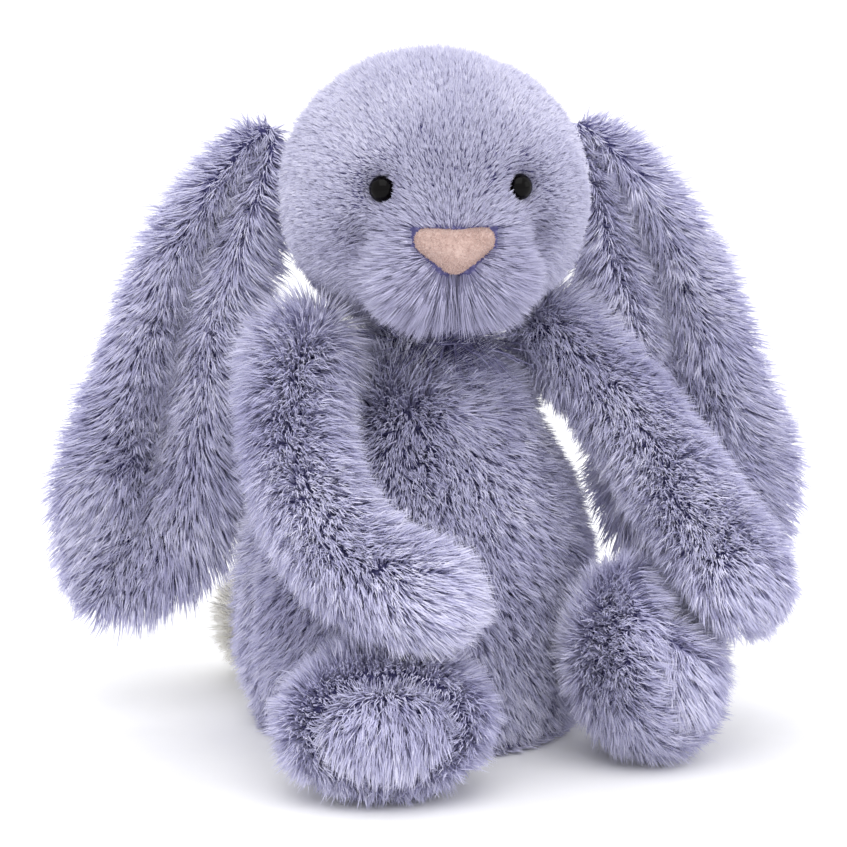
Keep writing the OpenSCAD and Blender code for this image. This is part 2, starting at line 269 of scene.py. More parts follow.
# Tapered ribbons that stand for the plush's yarn ends. Each one's root is spread evenly by area over
# the form; it leaves at the angle liftRoot above the cloth, bends to liftTip along the comb direction,
# and its tip is drawn towards the middle of its tuft. Its colour slots go from dark root to pale tip,
# painted shade where the pile shades its own roots and painted light at the tips, over a tone that
# varies at random by tuft
def growPile(name, form, ts, vs, pile, materials, body, depth, lengthAt=None, comb=None, layAt=None,
             paintedLightAndShadeAt=None):
    rng = np.random.default_rng(zlib.crc32(name.encode()))
    rows, columns = 70, 60
    t, v = np.meshgrid(np.linspace(*ts, rows + 1), np.linspace(*vs, columns + 1), indexing="ij")
    p = form(t, v, depth)
    area = np.linalg.norm(np.cross(p[1:, 1:] - p[:-1, :-1], p[1:, :-1] - p[:-1, 1:]), axis=-1).ravel() / 2
    count = int(area.sum() * pile["density"])
    cell = rng.choice(len(area), count, p=area / area.sum())
    t = ts[0] + (ts[1] - ts[0]) * (cell // columns + rng.random(count)) / rows
    v = vs[0] + (vs[1] - vs[0]) * (cell % columns + rng.random(count)) / columns
    share = np.ones(count) if lengthAt is None else lengthAt(form(t, v, depth), t, v)
    t, v, share = t[share > 0.05], v[share > 0.05], share[share > 0.05]
    count = len(t)
    root = form(t, v, depth)
    out = normalOf(form, t, v, depth)
    way, tuft = nearestTuft(root, pile["tuft"], 7)
    along = form(np.minimum(t + 0.004, 1), v, depth) - form(np.maximum(t - 0.004, 0), v, depth)
    flow = comb(root, out, unit(along), t, v) if comb else unit(along)
    swirl = np.stack([noise(root, pile["swirlSize"], 11 + k) for k in range(3)], -1)
    stir = np.stack([hashed(np.floor(root * 0 + tuft[:, None] * 9999), 20 + k) - 0.5 for k in range(3)], -1)
    flow = flow + swirl * pile["swirl"] + stir * pile["stir"] + rng.normal(size=(count, 3)) * pile["stray"]
    flow = unit(flow - out * np.sum(flow * out, -1, keepdims=True))
    length = pile["length"] * (0.8 + 0.4 * rng.random(count)) * (0.85 + 0.3 * tuft) * share
    lay = 1 if layAt is None else layAt(root, t, v)
    segments = pile["segments"]
    shift = pile["scatter"] * rng.normal(size=count) + 20 * (tuft - 0.5) + 12 * noise(root, 11, 31)
    at, spots, bend = root - out * 0.4, [], []
    for k in range(segments + 1):
        u = (k + 0.5) / segments
        lift = np.radians(lay * (pile["liftRoot"] + (pile["liftTip"] - pile["liftRoot"]) * u**0.8) + shift)
        spots.append(at)
        bend.append(out * np.sin(lift)[:, None] + flow * np.cos(lift)[:, None])
        at = at + bend[-1] * (length / segments)[:, None]
    tangent = way - out * np.sum(way * out, -1, keepdims=True)
    pull = pile["pull"] * (0.6 + 0.8 * hashed(np.floor(root * 3), 41))
    turn = np.radians(rng.uniform(-60, 60, count))
    corners = []
    for k in range(segments + 1):
        u = k / segments
        spots[k] = spots[k] + tangent * (pull * u**1.4)[:, None]
        spots[k][:, 2] = np.maximum(spots[k][:, 2], 0.15 + 0.5 * tuft)
        across = unit(np.cross(bend[k], out))
        across = across * np.cos(turn)[:, None] + np.cross(bend[k], across) * np.sin(turn)[:, None]
        half = pile["width"] / 2 * (1 - 0.25 * u)
        if k == segments:
            corners.append(spots[k])
        else:
            corners += [spots[k] - across * half, spots[k] + across * half]
    points = np.stack(corners, 1)
    first = np.arange(count)[:, None] * len(corners)
    quads = [first + np.array([0, 1, 3, 2]) + 2 * k for k in range(segments - 1)]
    tips = first + np.array([0, 1, 2]) + 2 * (segments - 1)
    mottle = noise(root, 16, 51) + 1.2 * (tuft - 0.5) + rng.normal(size=count) * 0.6
    tone = pile["tone"] + pile["spread"] * mottle
    # A piece may add painted light and shade: paler steps where light falls stronger, darker ones in its
    # hollows
    if paintedLightAndShadeAt is not None:
        tone = tone + paintedLightAndShadeAt(root, t, v)
    # Each segment's colour step: darker at the root as painted shade, paler at the tip as painted light
    shades = [np.clip(np.rint(pile["shades"][k] + tone), 0, len(materials) - 1) for k in range(segments)]
    piece = meshPiece(name, points, quads + [tips], materials, np.concatenate(shades), body)
    return piece


# ---- materials

# An sRGB hex colour as the linear numbers that a shader takes
def linear(code):
    c = np.array([int(code[i:i + 2], 16) for i in (1, 3, 5)]) / 255
    return (*np.where(c <= 0.04045, c / 12.92, ((c + 0.055) / 1.055) ** 2.4), 1)


# Adds a node with its settings and links: names of inputs with a value or another node's output
def addNode(tree, kind, inputs=None, **settings):
    node = tree.nodes.new(kind)
    for key, value in settings.items():
        setattr(node, key, value)
    for key, value in (inputs or {}).items():
        if isinstance(value, bpy.types.NodeSocket):
            tree.links.new(value, node.inputs[key])
        else:
            node.inputs[key].default_value = value
    return node


def newMaterial(name):
    material = bpy.data.materials.new(name)
    material.use_nodes = True
    tree = material.node_tree
    tree.nodes.clear()
    return material, tree


def finishMaterial(tree, shader):
    addNode(tree, "ShaderNodeOutputMaterial", {"Surface": shader.outputs[0]})


# A texture laid out over the object's own coordinates, in metres
def texture(tree, kind, scale, inputs=None, **settings):
    place = addNode(tree, "ShaderNodeTexCoord")
    place = {"Vector": place.outputs["Object"], "Scale": scale}
    return addNode(tree, kind, {**place, **(inputs or {})}, **settings)


# A blend from a dark to a pale colour as the value goes between the two ends
def twoTone(tree, value, dark, pale, ends=(0, 1)):
    ramp = addNode(tree, "ShaderNodeValToRGB", {"Fac": value})
    for stop, end, code in zip(ramp.color_ramp.elements, ends, (dark, pale)):
        stop.position, stop.color = end, linear(code)
    return ramp.outputs[0]


def raised(tree, height, strength, distance):
    bump = addNode(tree, "ShaderNodeBump", {"Height": height, "Strength": strength, "Distance": distance})
    return bump.outputs[0]


# Polyester plush yarn: soft, dull along its length with a silky sheen where it turns away. Each shade
# is one step from the dark root, painted shade, to the pale tip, painted light; uneven scatter follows
# tufts about 2 mm wide
def pileYarn(name, colour, glow):
    material, tree = newMaterial(name)
    tufts = texture(tree, "ShaderNodeTexNoise", 500.0, {"Detail": 2.0})
    scatter = addNode(tree, "ShaderNodeMapRange", {"Value": tufts.outputs[0], "To Min": 0.3, "To Max": 1.0})
    shader = addNode(tree, "ShaderNodeBsdfPrincipled", {
        "Base Color": linear(colour), "Roughness": 0.78, "IOR": 1.5, "Specular IOR Level": 0.25,
        "Sheen Weight": glow, "Sheen Roughness": 0.45, "Sheen Tint": linear("#e6e4ff"),
        "Diffuse Roughness": scatter.outputs[0]})
    finishMaterial(tree, shader)
    return material


# Steps of one yarn from dark to pale: painted shade at a ribbon's root, painted light at its tip, shifted at
# random by tuft
plushShades = ["#56537c", "#737098", "#908eb3", "#a9a7c9", "#bfbddb", "#d2d1e9", "#e6e5f5"]
plushYarn = [pileYarn(f"violetPlushYarn{i}", c, 0.1 + 0.09 * i) for i, c in enumerate(plushShades)]
# The head's pile takes paler, greyer steps than the body's: partly its own plush, partly painted light for the
# brighter top of the toy
browShades = ["#656384", "#7c7a9a", "#9391b0", "#a8a7c3", "#bcbad4", "#cecde2", "#dfdeee"]
browYarn = [pileYarn(f"paleVioletPlushYarn{i}", c, 0.1 + 0.09 * i) for i, c in enumerate(browShades)]
creamShades = ["#d8d2c4", "#e8e4d8", "#f2efe6", "#f8f6f0", "#fdfcf8"]
creamYarn = [pileYarn(f"creamPlushYarn{i}", c, 0.2) for i, c in enumerate(creamShades)]


# Knitted polyester backing: fine stitches about 1 mm apart in rows, drawn by two crossed waves, matte
def knittedBacking(name, dark, pale):
    material, tree = newMaterial(name)
    rows, across = (texture(tree, "ShaderNodeTexWave", 160.0, {"Distortion": 2.0}, wave_type="BANDS",
                            bands_direction=way) for way in "ZX")
    stitch = addNode(tree, "ShaderNodeMath", {0: rows.outputs["Fac"], 1: across.outputs["Fac"]},
                     operation="MULTIPLY").outputs[0]
    shader = addNode(tree, "ShaderNodeBsdfPrincipled", {
        "Base Color": twoTone(tree, stitch, dark, pale), "Roughness": 0.9, "IOR": 1.5, "Sheen Weight": 0.1,
        "Normal": raised(tree, stitch, 0.5, 0.0003)})
    finishMaterial(tree, shader)
    return material


backing = knittedBacking("violetKnittedBacking", "#4b4877", "#706d9b")
creamBacking = knittedBacking("creamKnittedBacking", "#d5cfc2", "#ece8dd")


# Carded polyester fibre: matted white strands, drawn by stretched noise a fraction of a millimetre across
def fibreFilling(name, dark, pale):
    material, tree = newMaterial(name)
    strands = texture(tree, "ShaderNodeTexNoise", 700.0, {"Detail": 6.0, "Distortion": 1.5}).outputs[0]
    shader = addNode(tree, "ShaderNodeBsdfPrincipled", {
        "Base Color": twoTone(tree, strands, dark, pale, (0.3, 0.65)), "Roughness": 0.95, "IOR": 1.5,
        "Sheen Weight": 0.3, "Normal": raised(tree, strands, 0.7, 0.001)})
    finishMaterial(tree, shader)
    return material


fibre = fibreFilling("cardedPolyesterFibre", "#c9c6bd", "#f6f4ef")


# Woven cotton: warp and weft 0.6 mm apart, drawn by two crossed waves, matte unbleached
def wovenCotton(name, dark, pale):
    material, tree = newMaterial(name)
    warp = texture(tree, "ShaderNodeTexWave", 265.0, {"Distortion": 0.6}, wave_type="BANDS",
                   bands_direction="DIAGONAL")
    weft = texture(tree, "ShaderNodeTexWave", 265.0, {"Distortion": 0.6}, wave_type="BANDS",
                   bands_direction="Z")
    weave = addNode(tree, "ShaderNodeMath", {0: warp.outputs["Fac"], 1: weft.outputs["Fac"]},
                    operation="ADD").outputs[0]
    evened = addNode(tree, "ShaderNodeMapRange", {"Value": weave, "From Max": 2.0}).outputs[0]
    shader = addNode(tree, "ShaderNodeBsdfPrincipled", {
        "Base Color": twoTone(tree, evened, dark, pale), "Roughness": 0.9, "IOR": 1.5,
        "Normal": raised(tree, weave, 0.4, 0.0002)})
    finishMaterial(tree, shader)
    return material


cotton = wovenCotton("wovenCotton", "#bdb5a0", "#e2dccb")


# Short-cut velour: pink and beige flecks under half a millimetre across, matte with a strong soft sheen
def velour(name, dark, pale):
    material, tree = newMaterial(name)
    flecks = texture(tree, "ShaderNodeTexNoise", 1500.0, {"Detail": 3.0}).outputs[0]
    patches = texture(tree, "ShaderNodeTexNoise", 180.0).outputs[0]
    both = addNode(tree, "ShaderNodeMath", {0: flecks, 1: patches}, operation="ADD").outputs[0]
    spread = addNode(tree, "ShaderNodeMapRange", {"Value": both, "From Min": 0.7, "From Max": 1.3}).outputs[0]
    shader = addNode(tree, "ShaderNodeBsdfPrincipled", {
        "Base Color": twoTone(tree, spread, dark, pale), "Roughness": 0.85, "IOR": 1.5,
        "Specular IOR Level": 0.2, "Sheen Weight": 0.5, "Sheen Roughness": 0.4, "Sheen Tint": linear("#ffe9e0"),
        "Normal": raised(tree, flecks, 0.8, 0.0004)})
    finishMaterial(tree, shader)
    return material


noseVelour = velour("pinkNoseVelour", "#a98d86", "#d2bab2")
noseShades = ["#a88b84", "#c3a59c", "#d3b8b0", "#e0cbc4"]
noseYarn = [pileYarn(f"pinkNoseYarn{i}", c, 0.2) for i, c in enumerate(noseShades)]


# Moulded plastic: a plain hue with faint flow marks a few millimetres across; polished it mirrors the lamps
def mouldedPlastic(name, dark, pale, rough, mirror):
    material, tree = newMaterial(name)
    flow = texture(tree, "ShaderNodeTexNoise", 300.0, {"Detail": 3.0}).outputs[0]
    worn = addNode(tree, "ShaderNodeMapRange", {"Value": flow, "To Min": rough * 0.8, "To Max": rough * 1.3})
    shader = addNode(tree, "ShaderNodeBsdfPrincipled", {
        "Base Color": twoTone(tree, flow, dark, pale), "Roughness": worn.outputs[0], "IOR": 1.49,
        "Specular IOR Level": mirror})
    finishMaterial(tree, shader)
    return material


eyePlastic = mouldedPlastic("polishedBlackAcrylic", "#020102", "#060405", 0.06, 0.1)
washerPlastic = mouldedPlastic("mouldedWhiteNylon", "#dddad2", "#efece5", 0.5, 0.5)


# Two-ply polyester thread: bands along the twist, a hint of gloss
def stitchThread(name, dark, pale):
    material, tree = newMaterial(name)
    plies = texture(tree, "ShaderNodeTexWave", 300.0, {"Distortion": 1.0}, wave_type="BANDS",
                    bands_direction="DIAGONAL").outputs["Fac"]
    shader = addNode(tree, "ShaderNodeBsdfPrincipled", {
        "Base Color": twoTone(tree, plies, dark, pale), "Roughness": 0.55, "IOR": 1.5, "Sheen Weight": 0.2})
    finishMaterial(tree, shader)
    return material


thread = stitchThread("violetStitchThread", "#4f4b70", "#7b779c")

# ---- pile settings

longPile = {"density": 3.1, "length": 8.8, "width": 0.46, "segments": 2, "liftRoot": 82, "liftTip": 42,
            "tuft": 2.6, "pull": 0.5, "swirl": 0.6, "swirlSize": 15, "stir": 0.45, "stray": 0.16, "scatter": 8,
            "tone": 0.0, "spread": 0.7, "shades": (2.9, 5.0)}
limbPile = {**longPile, "liftTip": 33, "shades": (3.5, 5.1)}
headPile = {**longPile, "density": 6.6, "length": 4.6, "width": 0.38, "liftRoot": 74, "liftTip": 34,
            "tuft": 1.7, "pull": 0.35, "swirl": 0.25, "swirlSize": 12, "stir": 0.3, "stray": 0.1, "scatter": 5,
            "spread": 0.5, "shades": (3.2, 4.9)}
tailPile = {**longPile, "density": 3.4, "length": 9.0, "liftRoot": 88, "liftTip": 70, "shades": (2.8, 3.9)}

# How far under the outside each layer lies: the backing's outer and inner face, and the filling
bodyCloth, headCloth, earCloth, tailCloth = (4.6, 5.8), (2.4, 3.6), (3.0, 4.2), (4.5, 5.7)
fillingDepth, headFillingDepth = 6.4, 5.4
fillingEnds = (0.004, 0.996)
poleGap = 0.0004  # the pile stops this short of a limb's ends, where its section closes to a point

# ---- torso

torso = {"height": 127, "belly": (119, 108), "chest": 68, "base": 103, "pouch": 24, "cloth": 2.2}


def torsoSizes(wide):
    return [torso["base"] / 2 + 1.5, wide / 2, wide / 2, (wide + torso["chest"]) / 4 + 6,
            torso["chest"] / 2 + 5, torso["chest"] / 2 - 6]


torsoBase = stuffed((0, 0, floorGap), torso["height"], (0, 0), (90, 90),
                    torsoSizes(torso["belly"][0]), torsoSizes(torso["belly"][1]), (0, 0.15))


def torsoRelief(p, t, v):  # seams down both sides and the back pull in
    seam = np.minimum(np.minimum(np.abs((v % 360) - 180), np.abs((v % 360) - 360)), np.abs(v % 360))
    back = np.abs((v % 360) - 90)
    return -2.0 * bell(seam, 3.2) - 1.6 * bell(back, 3.0)


torsoForm = shaped(torsoBase, torsoRelief)


def downwards(root, out, along, t, v):  # combed down, and away from the middle in front
    return np.array([0, 0, -1.0]) + unit(root * np.array([1, 1, 0])) * 0.2


def torsoLength(root, t, v):  # shorter along the seams and at the floor, longer up at the neck
    seam = np.minimum(np.abs((v % 360) - 180), np.minimum(np.abs((v % 360) - 360), np.abs(v % 360)))
    return ((1 - 0.45 * bell(seam, 4)) * (0.7 + 0.3 * np.clip(root[:, 2] / 14, 0, 1))
            * (0.85 + 1.0 * np.clip((root[:, 2] - 100) / 22, 0, 1)))


for name, vs, cad in (("torsoFront", (180, 360), "torso_front"),
                      ("torsoBackLeft", (0, 90), "torso_back_left"),
                      ("torsoBackRight", (90, 180), "torso_back_right")):
    clothPanel(name + "Backing", torsoForm, (0, 1), vs, *bodyCloth, backing, "torso", cad)
    growPile(name + "Pile", torsoForm, (0.0, 0.998), vs, longPile, plushYarn, "torso", bodyCloth[0],
             torsoLength, downwards)


def baseForm(t, v, depth=0):  # the flat round base, seen from below: t from its middle out, v round it
    t, v = np.broadcast_arrays(np.asarray(t, float), -np.radians(np.asarray(v, float)))
    r = t * (torso["base"] - torso["cloth"]) / 2
    return np.stack([r * np.cos(v), r * np.sin(v), 0 * r + 0.3 + depth], -1)


clothPanel("baseBacking", baseForm, (0, 1), (0, 360), 0.6, 2.0, backing, "torso", "torso_base", 24, 91)
basePile = {**longPile, "density": 1.6, "length": 6.5, "liftRoot": 12, "liftTip": 2, "scatter": 2}
growPile("basePile", baseForm, (0.01, 0.99), (0, 360), basePile, plushYarn, "torso", 0.6)
pouchTop = torso["pouch"] / torso["height"]
fillingPiece("torsoFilling", torsoForm, (pouchTop + 0.01, 0.998), fillingDepth, 0.9, fibre, "torso",
             "torso_filling")


def pouchForm(t, v, depth=0):  # the bead bag, bulging over each bead
    p = torsoBase(t, v, depth + 6.5) + np.array([0, 0, 3.6])
    away = np.linalg.norm(nearestTuft(p.reshape(-1, 3), 3.4, 61)[0], axis=-1).reshape(p.shape[:-1])
    return p - normalOf(torsoBase, t, v, depth)*(0.45 * away)[..., None]


fillingPiece("beadPouch", pouchForm, (0, pouchTop - 0.045), 0, 0, cotton, "torso", "bead_pouch",
             24, 144)
print("torso done")

# ---- neck: the cloth drawn in with pleats, and the pile that stands round it

neck = {"radius": 15, "pleats": 26, "pleat": 0.9}
neckLow, neckHigh = (np.array(c) * 1000 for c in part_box("neck_gather"))
neckMiddle = (neckLow + neckHigh) / 2


def neckForm(t, v, depth=0):  # a pleated button of cloth: t from its lowest point to its highest, v round it
    t, v = np.broadcast_arrays(np.asarray(t, float), np.radians(np.asarray(v, float)))
    a = np.pi * t
    r = (neck["radius"] - depth - neck["pleat"] * np.cos(neck["pleats"] * v) ** 2) * np.sin(a) ** 0.4
    return neckMiddle + np.stack([r * np.cos(v), r * np.sin(v), -np.cos(a) * 1.0], -1)


fillingPiece("neckGather", neckForm, (0.02, 0.98), 0, 0, backing, "neck", "neck_gather",
             12, 208)
# The neck's pile takes the darkest steps of the violet palette: painted shade in the crease under the head
neckPile = {**longPile, "density": 9.0, "length": 21, "width": 0.6, "liftRoot": 88, "liftTip": 74,
            "stray": 0.3, "shades": (0.8, 2.6)}
growPile("neckPile", neckForm, (0.12, 0.88), (0, 360), neckPile, plushYarn, "neck", 0.5)
print("neck done")

# ---- head

head = {"centre": (3.5, -6, 176), "turn": -17, "width": 98, "height": 89, "depth": 101, "low": 13.5,
        "eyeAt": 0.138, "eyeAround": 44, "eye": 8.4, "eyeSunk": 2.6,
        "noseUp": 2.2, "nose": (25, 14.2)}
headCentre = np.array(head["centre"], float)
headBase = stuffed((0, -head["depth"] / 2 - 3, -head["low"]), head["depth"] + 3, (180, 180), (4, 26, 6, 0, 0),
                   [head["width"] / 2 - k for k in (8, 1, 0, 0, 2)],
                   [head["height"] / 2 - k for k in (8, 2, 0, 0, 2)], (0.5, 0.5))
eyeAngle = {right: head["eyeAround"], left: 180 - head["eyeAround"]}
eyeSpots = {s: headBase(np.array(head["eyeAt"]), np.array(eyeAngle[s]))
            for s in (left, right)}


# Added outwards on the face, in the head's own frame: a ridge between the eyes that ends over the
# nose, hollows for the eyes, two puffs beside the lip, a chin, and grooves for the lip and the mouth
def headRelief(p, t, v):
    x, z, front = np.abs(p[..., 0]), p[..., 2], (p[..., 1] < -8) * 1.0
    rise = 3.4 * bell(x, 15) * bell(z - 4, 20) * front
    eye = np.array([1, 1, 1]) * eyeSpots[left]
    near = np.linalg.norm(np.stack([x, p[..., 1], z], -1) - eye - np.array([1.5, 0, 0.5]), axis=-1)
    rise = rise - 7.0 * bell(near, 7.5) + 2.4 * bell(near, 15)
    puff = np.linalg.norm(np.stack([x, p[..., 1], z], -1) - np.array([13.5, -46, -22]), axis=-1)
    rise = rise + 8.0 * bell(puff, 10)
    cheek = np.linalg.norm(np.stack([x, p[..., 1], z], -1) - np.array([37, -20, -18]), axis=-1)
    rise = rise + 1.8 * bell(cheek, 18)
    hollow = np.linalg.norm(np.stack([x, p[..., 1], z], -1) - np.array([27, -40, -9]), axis=-1)
    rise = rise - 6.0 * bell(hollow, 8)
    rise = rise - 3.4 * bell(x, 2.6) * bell(z + 25, 8) * front
    rise = rise - 9.0 * bell(z + 36 - 0.014 * x**2, 3.6) * bell(x, 22) * front
    return rise + 2.6 * bell(x, 16) * bell(z + 44, 6) * front


headForm = placed(shaped(headBase, headRelief), head["turn"], headCentre)
headPlain = placed(headBase, head["turn"], headCentre)
turnCos, turnSin = math.cos(math.radians(head["turn"])), math.sin(math.radians(head["turn"]))
turnHead = np.array([[turnCos, -turnSin, 0], [turnSin, turnCos, 0], [0, 0, 1]])


def headLocal(root):
    return (root - headCentre) @ turnHead


def onMuzzle(p):
    return bell(np.linalg.norm((p - np.array([0, -48, -22])) / np.array([1.25, 1, 1]), axis=-1), 17)


def fromNose(root, out, along, t, v):  # back from the nose, down over the cheeks, parted on the muzzle
    p = headLocal(root)
    parted = np.stack([1.1 * np.tanh(p[:, 0] / 5), 0 * t, -0.75 + 0 * t], -1) @ turnHead.T
    return (along + np.array([0, 0, -1.0]) * np.clip((t - 0.12) * 2.4, 0, 1.1)[:, None]
            + parted * (1.6 * onMuzzle(p) * (p[:, 2] < noseMiddle[2] + 7))[:, None])


noseMiddle = np.array([0, -54, head["noseUp"] - head["low"]])


def headLength(root, t, v):  # none under the eyes and the nose, long on the muzzle, short on the brow
    p = headLocal(root)
    x, z = np.abs(p[:, 0]), p[:, 2]
    eye = np.linalg.norm(np.stack([x, p[:, 1], z], -1) - eyeSpots[left], axis=-1)
    under = np.maximum(x * 0.6 - (z - noseMiddle[2] + 11) * 0.62, np.abs(z - noseMiddle[2]) - 7.0)
    bare = ((under < 0) & (x < 13) & (p[:, 1] < -38)) | (eye < 4.2)
    rim = np.clip(np.linalg.norm((p - noseMiddle) / np.array([1.5, 2, 1]), axis=-1) / 11, 0.4, 1)
    back = np.clip((p[:, 1] + 20) / 40, 0, 1)
    size = (0.66 + 1.7 * onMuzzle(p) + 0.45 * bell(z + 30, 16) + 1.6 * bell(z + 46, 9) * (p[:, 1] > -34)
            + 0.6 * back)
    return np.where(bare, 0, size * (1 - 0.2 * bell(eye, 9)) * rim)


def headLay(root, t, v):  # lies flatter on the muzzle and beside it
    return 1 - 0.45 * onMuzzle(headLocal(root))


def headPaintedLightAndShade(root, t, v):  # painted shade round the eyes, on the muzzle, in the hollows beside it and in the lip and mouth grooves; painted light from above, lighter up the head and darker under the chin
    p = headLocal(root)
    x, z = np.abs(p[:, 0]), p[:, 2]
    eye = np.linalg.norm(np.stack([x, p[:, 1], z], -1) - eyeSpots[left] + np.array([1.5, 0, -1]), axis=-1)
    sunk = np.minimum(headRelief(p, t, v), 0)
    return 0.17 * sunk - 1.8 * bell(eye, 5.5) - 0.8 * onMuzzle(p) + 0.5 * np.clip(z / 30, -1.6, 1)


# The head's pile is painted darker in its hollows and paler higher up: painted shade and painted light
for name, vs, cad in (("headSideRight", (-50, 62), "head_side_right"),
                      ("headSideLeft", (118, 230), "head_side_left"),
                      ("headGusset", (62, 118), "head_gusset"), ("headChin", (230, 310), "head_chin")):
    clothPanel(name + "Backing", headForm, (0, 1), vs, *headCloth, backing, "head", cad)
    growPile(name + "Pile", headForm, (0.0006, 0.9994), vs, headPile, browYarn, "head", headCloth[0],
             headLength, fromNose, headLay, paintedLightAndShadeAt=headPaintedLightAndShade)
fillingPiece("headFilling", headForm, fillingEnds, headFillingDepth, 0.8, fibre, "head", "head_filling")


# A part turned about the line out of the head at an eye; its outline's points are a radius and a
# height above the cloth, from the middle of its front round to the middle of its back
def turnedPiece(name, side, outline, material, cad):
    v = np.linspace(0, 2 * np.pi, 49)
    t0, v0 = np.array(head["eyeAt"]), np.array(eyeAngle[side])
    n = normalOf(headPlain, t0, v0)
    u = unit(np.cross(n, np.array([0, 0, 1.0])))
    w = np.cross(n, u)
    at = headPlain(t0, v0) - n * head["eyeSunk"]
    points = (at + outline[:, None, :1] * (np.cos(v)[:, None] * u + np.sin(v)[:, None] * w)[None]
              + outline[:, None, 1:] * n)
    piece = meshPiece(name, points, [gridFaces(len(outline), 49)], [material], body="head")
    mergeDoubles(piece)
    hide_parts(cad)


quarter = np.linspace(0, np.pi / 2, 18)
dome = head["eye"] / 2 * np.stack([np.sin(quarter), 0.92 * np.cos(quarter)], -1)
collar = [[4.2, -0.3], [3.7, -0.7], [1.7, -0.9], [1.6, -1.3], [1.9, -1.6], [1.6, -2.0], [1.9, -2.4],
          [1.6, -2.8], [1.5, -9.2], [0, -9.6]]
eyeOutline = np.vstack([dome, collar])
washerOutline = np.array([[1.75, -7.3], [2.3, -6.9], [2.7, -7.2], [4.9, -7.2], [5.3, -7.4], [5.4, -7.8],
                          [5.3, -8.2], [4.9, -8.4], [1.9, -8.4], [1.75, -8.2], [1.75, -7.3]])
for side, word in ((left, "left"), (right, "right")):
    turnedPiece(f"{word}Eye", side, eyeOutline, eyePlastic, f"eye_{word}")
    turnedPiece(f"{word}EyeWasher", side, washerOutline, washerPlastic, f"eye_washer_{word}")

# The nose's outline: the edge of the hull of three circles, as points evenly spaced along it
halfWide, halfHigh = head["nose"][0] / 2, head["nose"][1] / 2
noseCircles = [(-halfWide + 4.2, halfHigh - 4.0, 4.2), (halfWide - 4.2, halfHigh - 4.0, 4.2),
               (0, 6.0 - halfHigh, 6.0)]
turns = np.radians(np.linspace(-90, 270, 721))
reachOf = np.array([c[0] * np.cos(turns) + c[1] * np.sin(turns) + c[2] for c in noseCircles])
touched = np.array(noseCircles)[reachOf.argmax(0)]
edge = touched[:, :2] + touched[:, 2:] * np.stack([np.cos(turns), np.sin(turns)], -1)
along = np.concatenate([[0], np.cumsum(np.linalg.norm(np.diff(edge, axis=0), axis=-1))])


# t runs from the nose's middle to its rim and back under it, v round it; a half cosine domes it
def noseForm(t, v, depth=0):
    t, v = np.broadcast_arrays(np.asarray(t, float), np.asarray(v, float))
    s = (v % 360) / 360 * along[-1]
    x, z = np.interp(s, along, edge[:, 0]), np.interp(s, along, edge[:, 1])
    z = z - 0.7 * bell(x, 4) * (z > 0)
    r = np.clip(t / 0.86, 0, 1)
    inner = 1 - 0.06 * np.clip((t - 0.86) / 0.14, 0, 1)
    y = -3.4 * np.cos(r * np.pi / 2) ** 0.8 - 0.3 + 4.2 * np.clip((t - 0.86) / 0.14, 0, 1) ** 1.5
    bend = 0.012 * (x * r) ** 2 + 0.02 * (z * r) ** 2
    p = noseMiddle + np.stack([x * r * inner, y + bend + 0.4 + depth, z * r * inner], -1)
    return p @ turnHead.T + headCentre


def nosePiece():
    t, v = np.meshgrid(np.linspace(0, 1, 30), np.linspace(360, 0, 145), indexing="ij")
    p = noseForm(t, v)
    p = np.concatenate([p, np.broadcast_to(p[-1].mean(0), (1, 145, 3))])
    piece = meshPiece("noseCloth", p, [gridFaces(31, 145)], [noseVelour], body="head")
    mergeDoubles(piece)
    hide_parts("nose")


nosePiece()
nosePile = {**longPile, "density": 16, "length": 0.9, "width": 0.22, "liftRoot": 85, "liftTip": 55, "tuft": 0.9,
            "pull": 0.1, "swirl": 0.4, "swirlSize": 3, "shades": (0.8, 2.2), "tone": 0.2}
growPile("nosePile", lambda t, v, depth=0: noseForm(t, -v, depth), (0.02, 0.95), (0, 360), nosePile, noseYarn,
         "head", 0.1)


# The mouth's thread: a round tube along the stitches, dented along two plies that wind round it
def threadPiece(name, cad):
    s = np.linspace(-1, 1, 161)
    x, z = s * 10, -17 + 3.5 * np.abs(s) * (1 - 0.3 * np.abs(s))
    reach2 = (x**2 + z**2) / (head["width"] / 2) ** 2
    at = 0.5 * (1 - np.sqrt(1 - np.minimum(reach2, 0.9)))
    path = headForm(at, 180 - np.degrees(np.arctan2(z, x)), 1.6)
    ahead = unit(np.gradient(path, axis=0))
    u = unit(np.cross(ahead, np.array([0, 0, 1.0])))
    w = np.cross(ahead, u)
    a = np.linspace(0, 2 * np.pi, 17)
    r = 0.5 * (1 + 0.16 * np.cos(2 * (a[None] - s[:, None] * 34)))
    r = r * np.sqrt(np.clip(1 - (np.abs(s) * 1.0) ** 40, 0, 1))[:, None]
    spokes = np.cos(a)[None, :, None] * u[:, None] + np.sin(a)[None, :, None] * w[:, None]
    points = path[:, None] + r[..., None] * spokes
    piece = meshPiece(name, points, [gridFaces(161, 17, flip=True)], [thread], body="head")
    mergeDoubles(piece)
    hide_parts(cad)


threadPiece("mouthStitch", "mouth_stitch")
print("head done")

# ---- ears

ears = {"length": 176, "width": 68, "fold": 5, "thickness": 10, "drop": 58, "root": (49.5, 22.5, 22)}


def earAcross(v):  # -1 at the ear's edge by the head, 1 at its outer edge
    return np.sin(np.radians(v))


def valleyAt(t):  # where the valley lies across the ear
    return -0.15 + 0.25 * np.sin(np.pi * np.clip(t, 0, 1)) - 0.1 * t


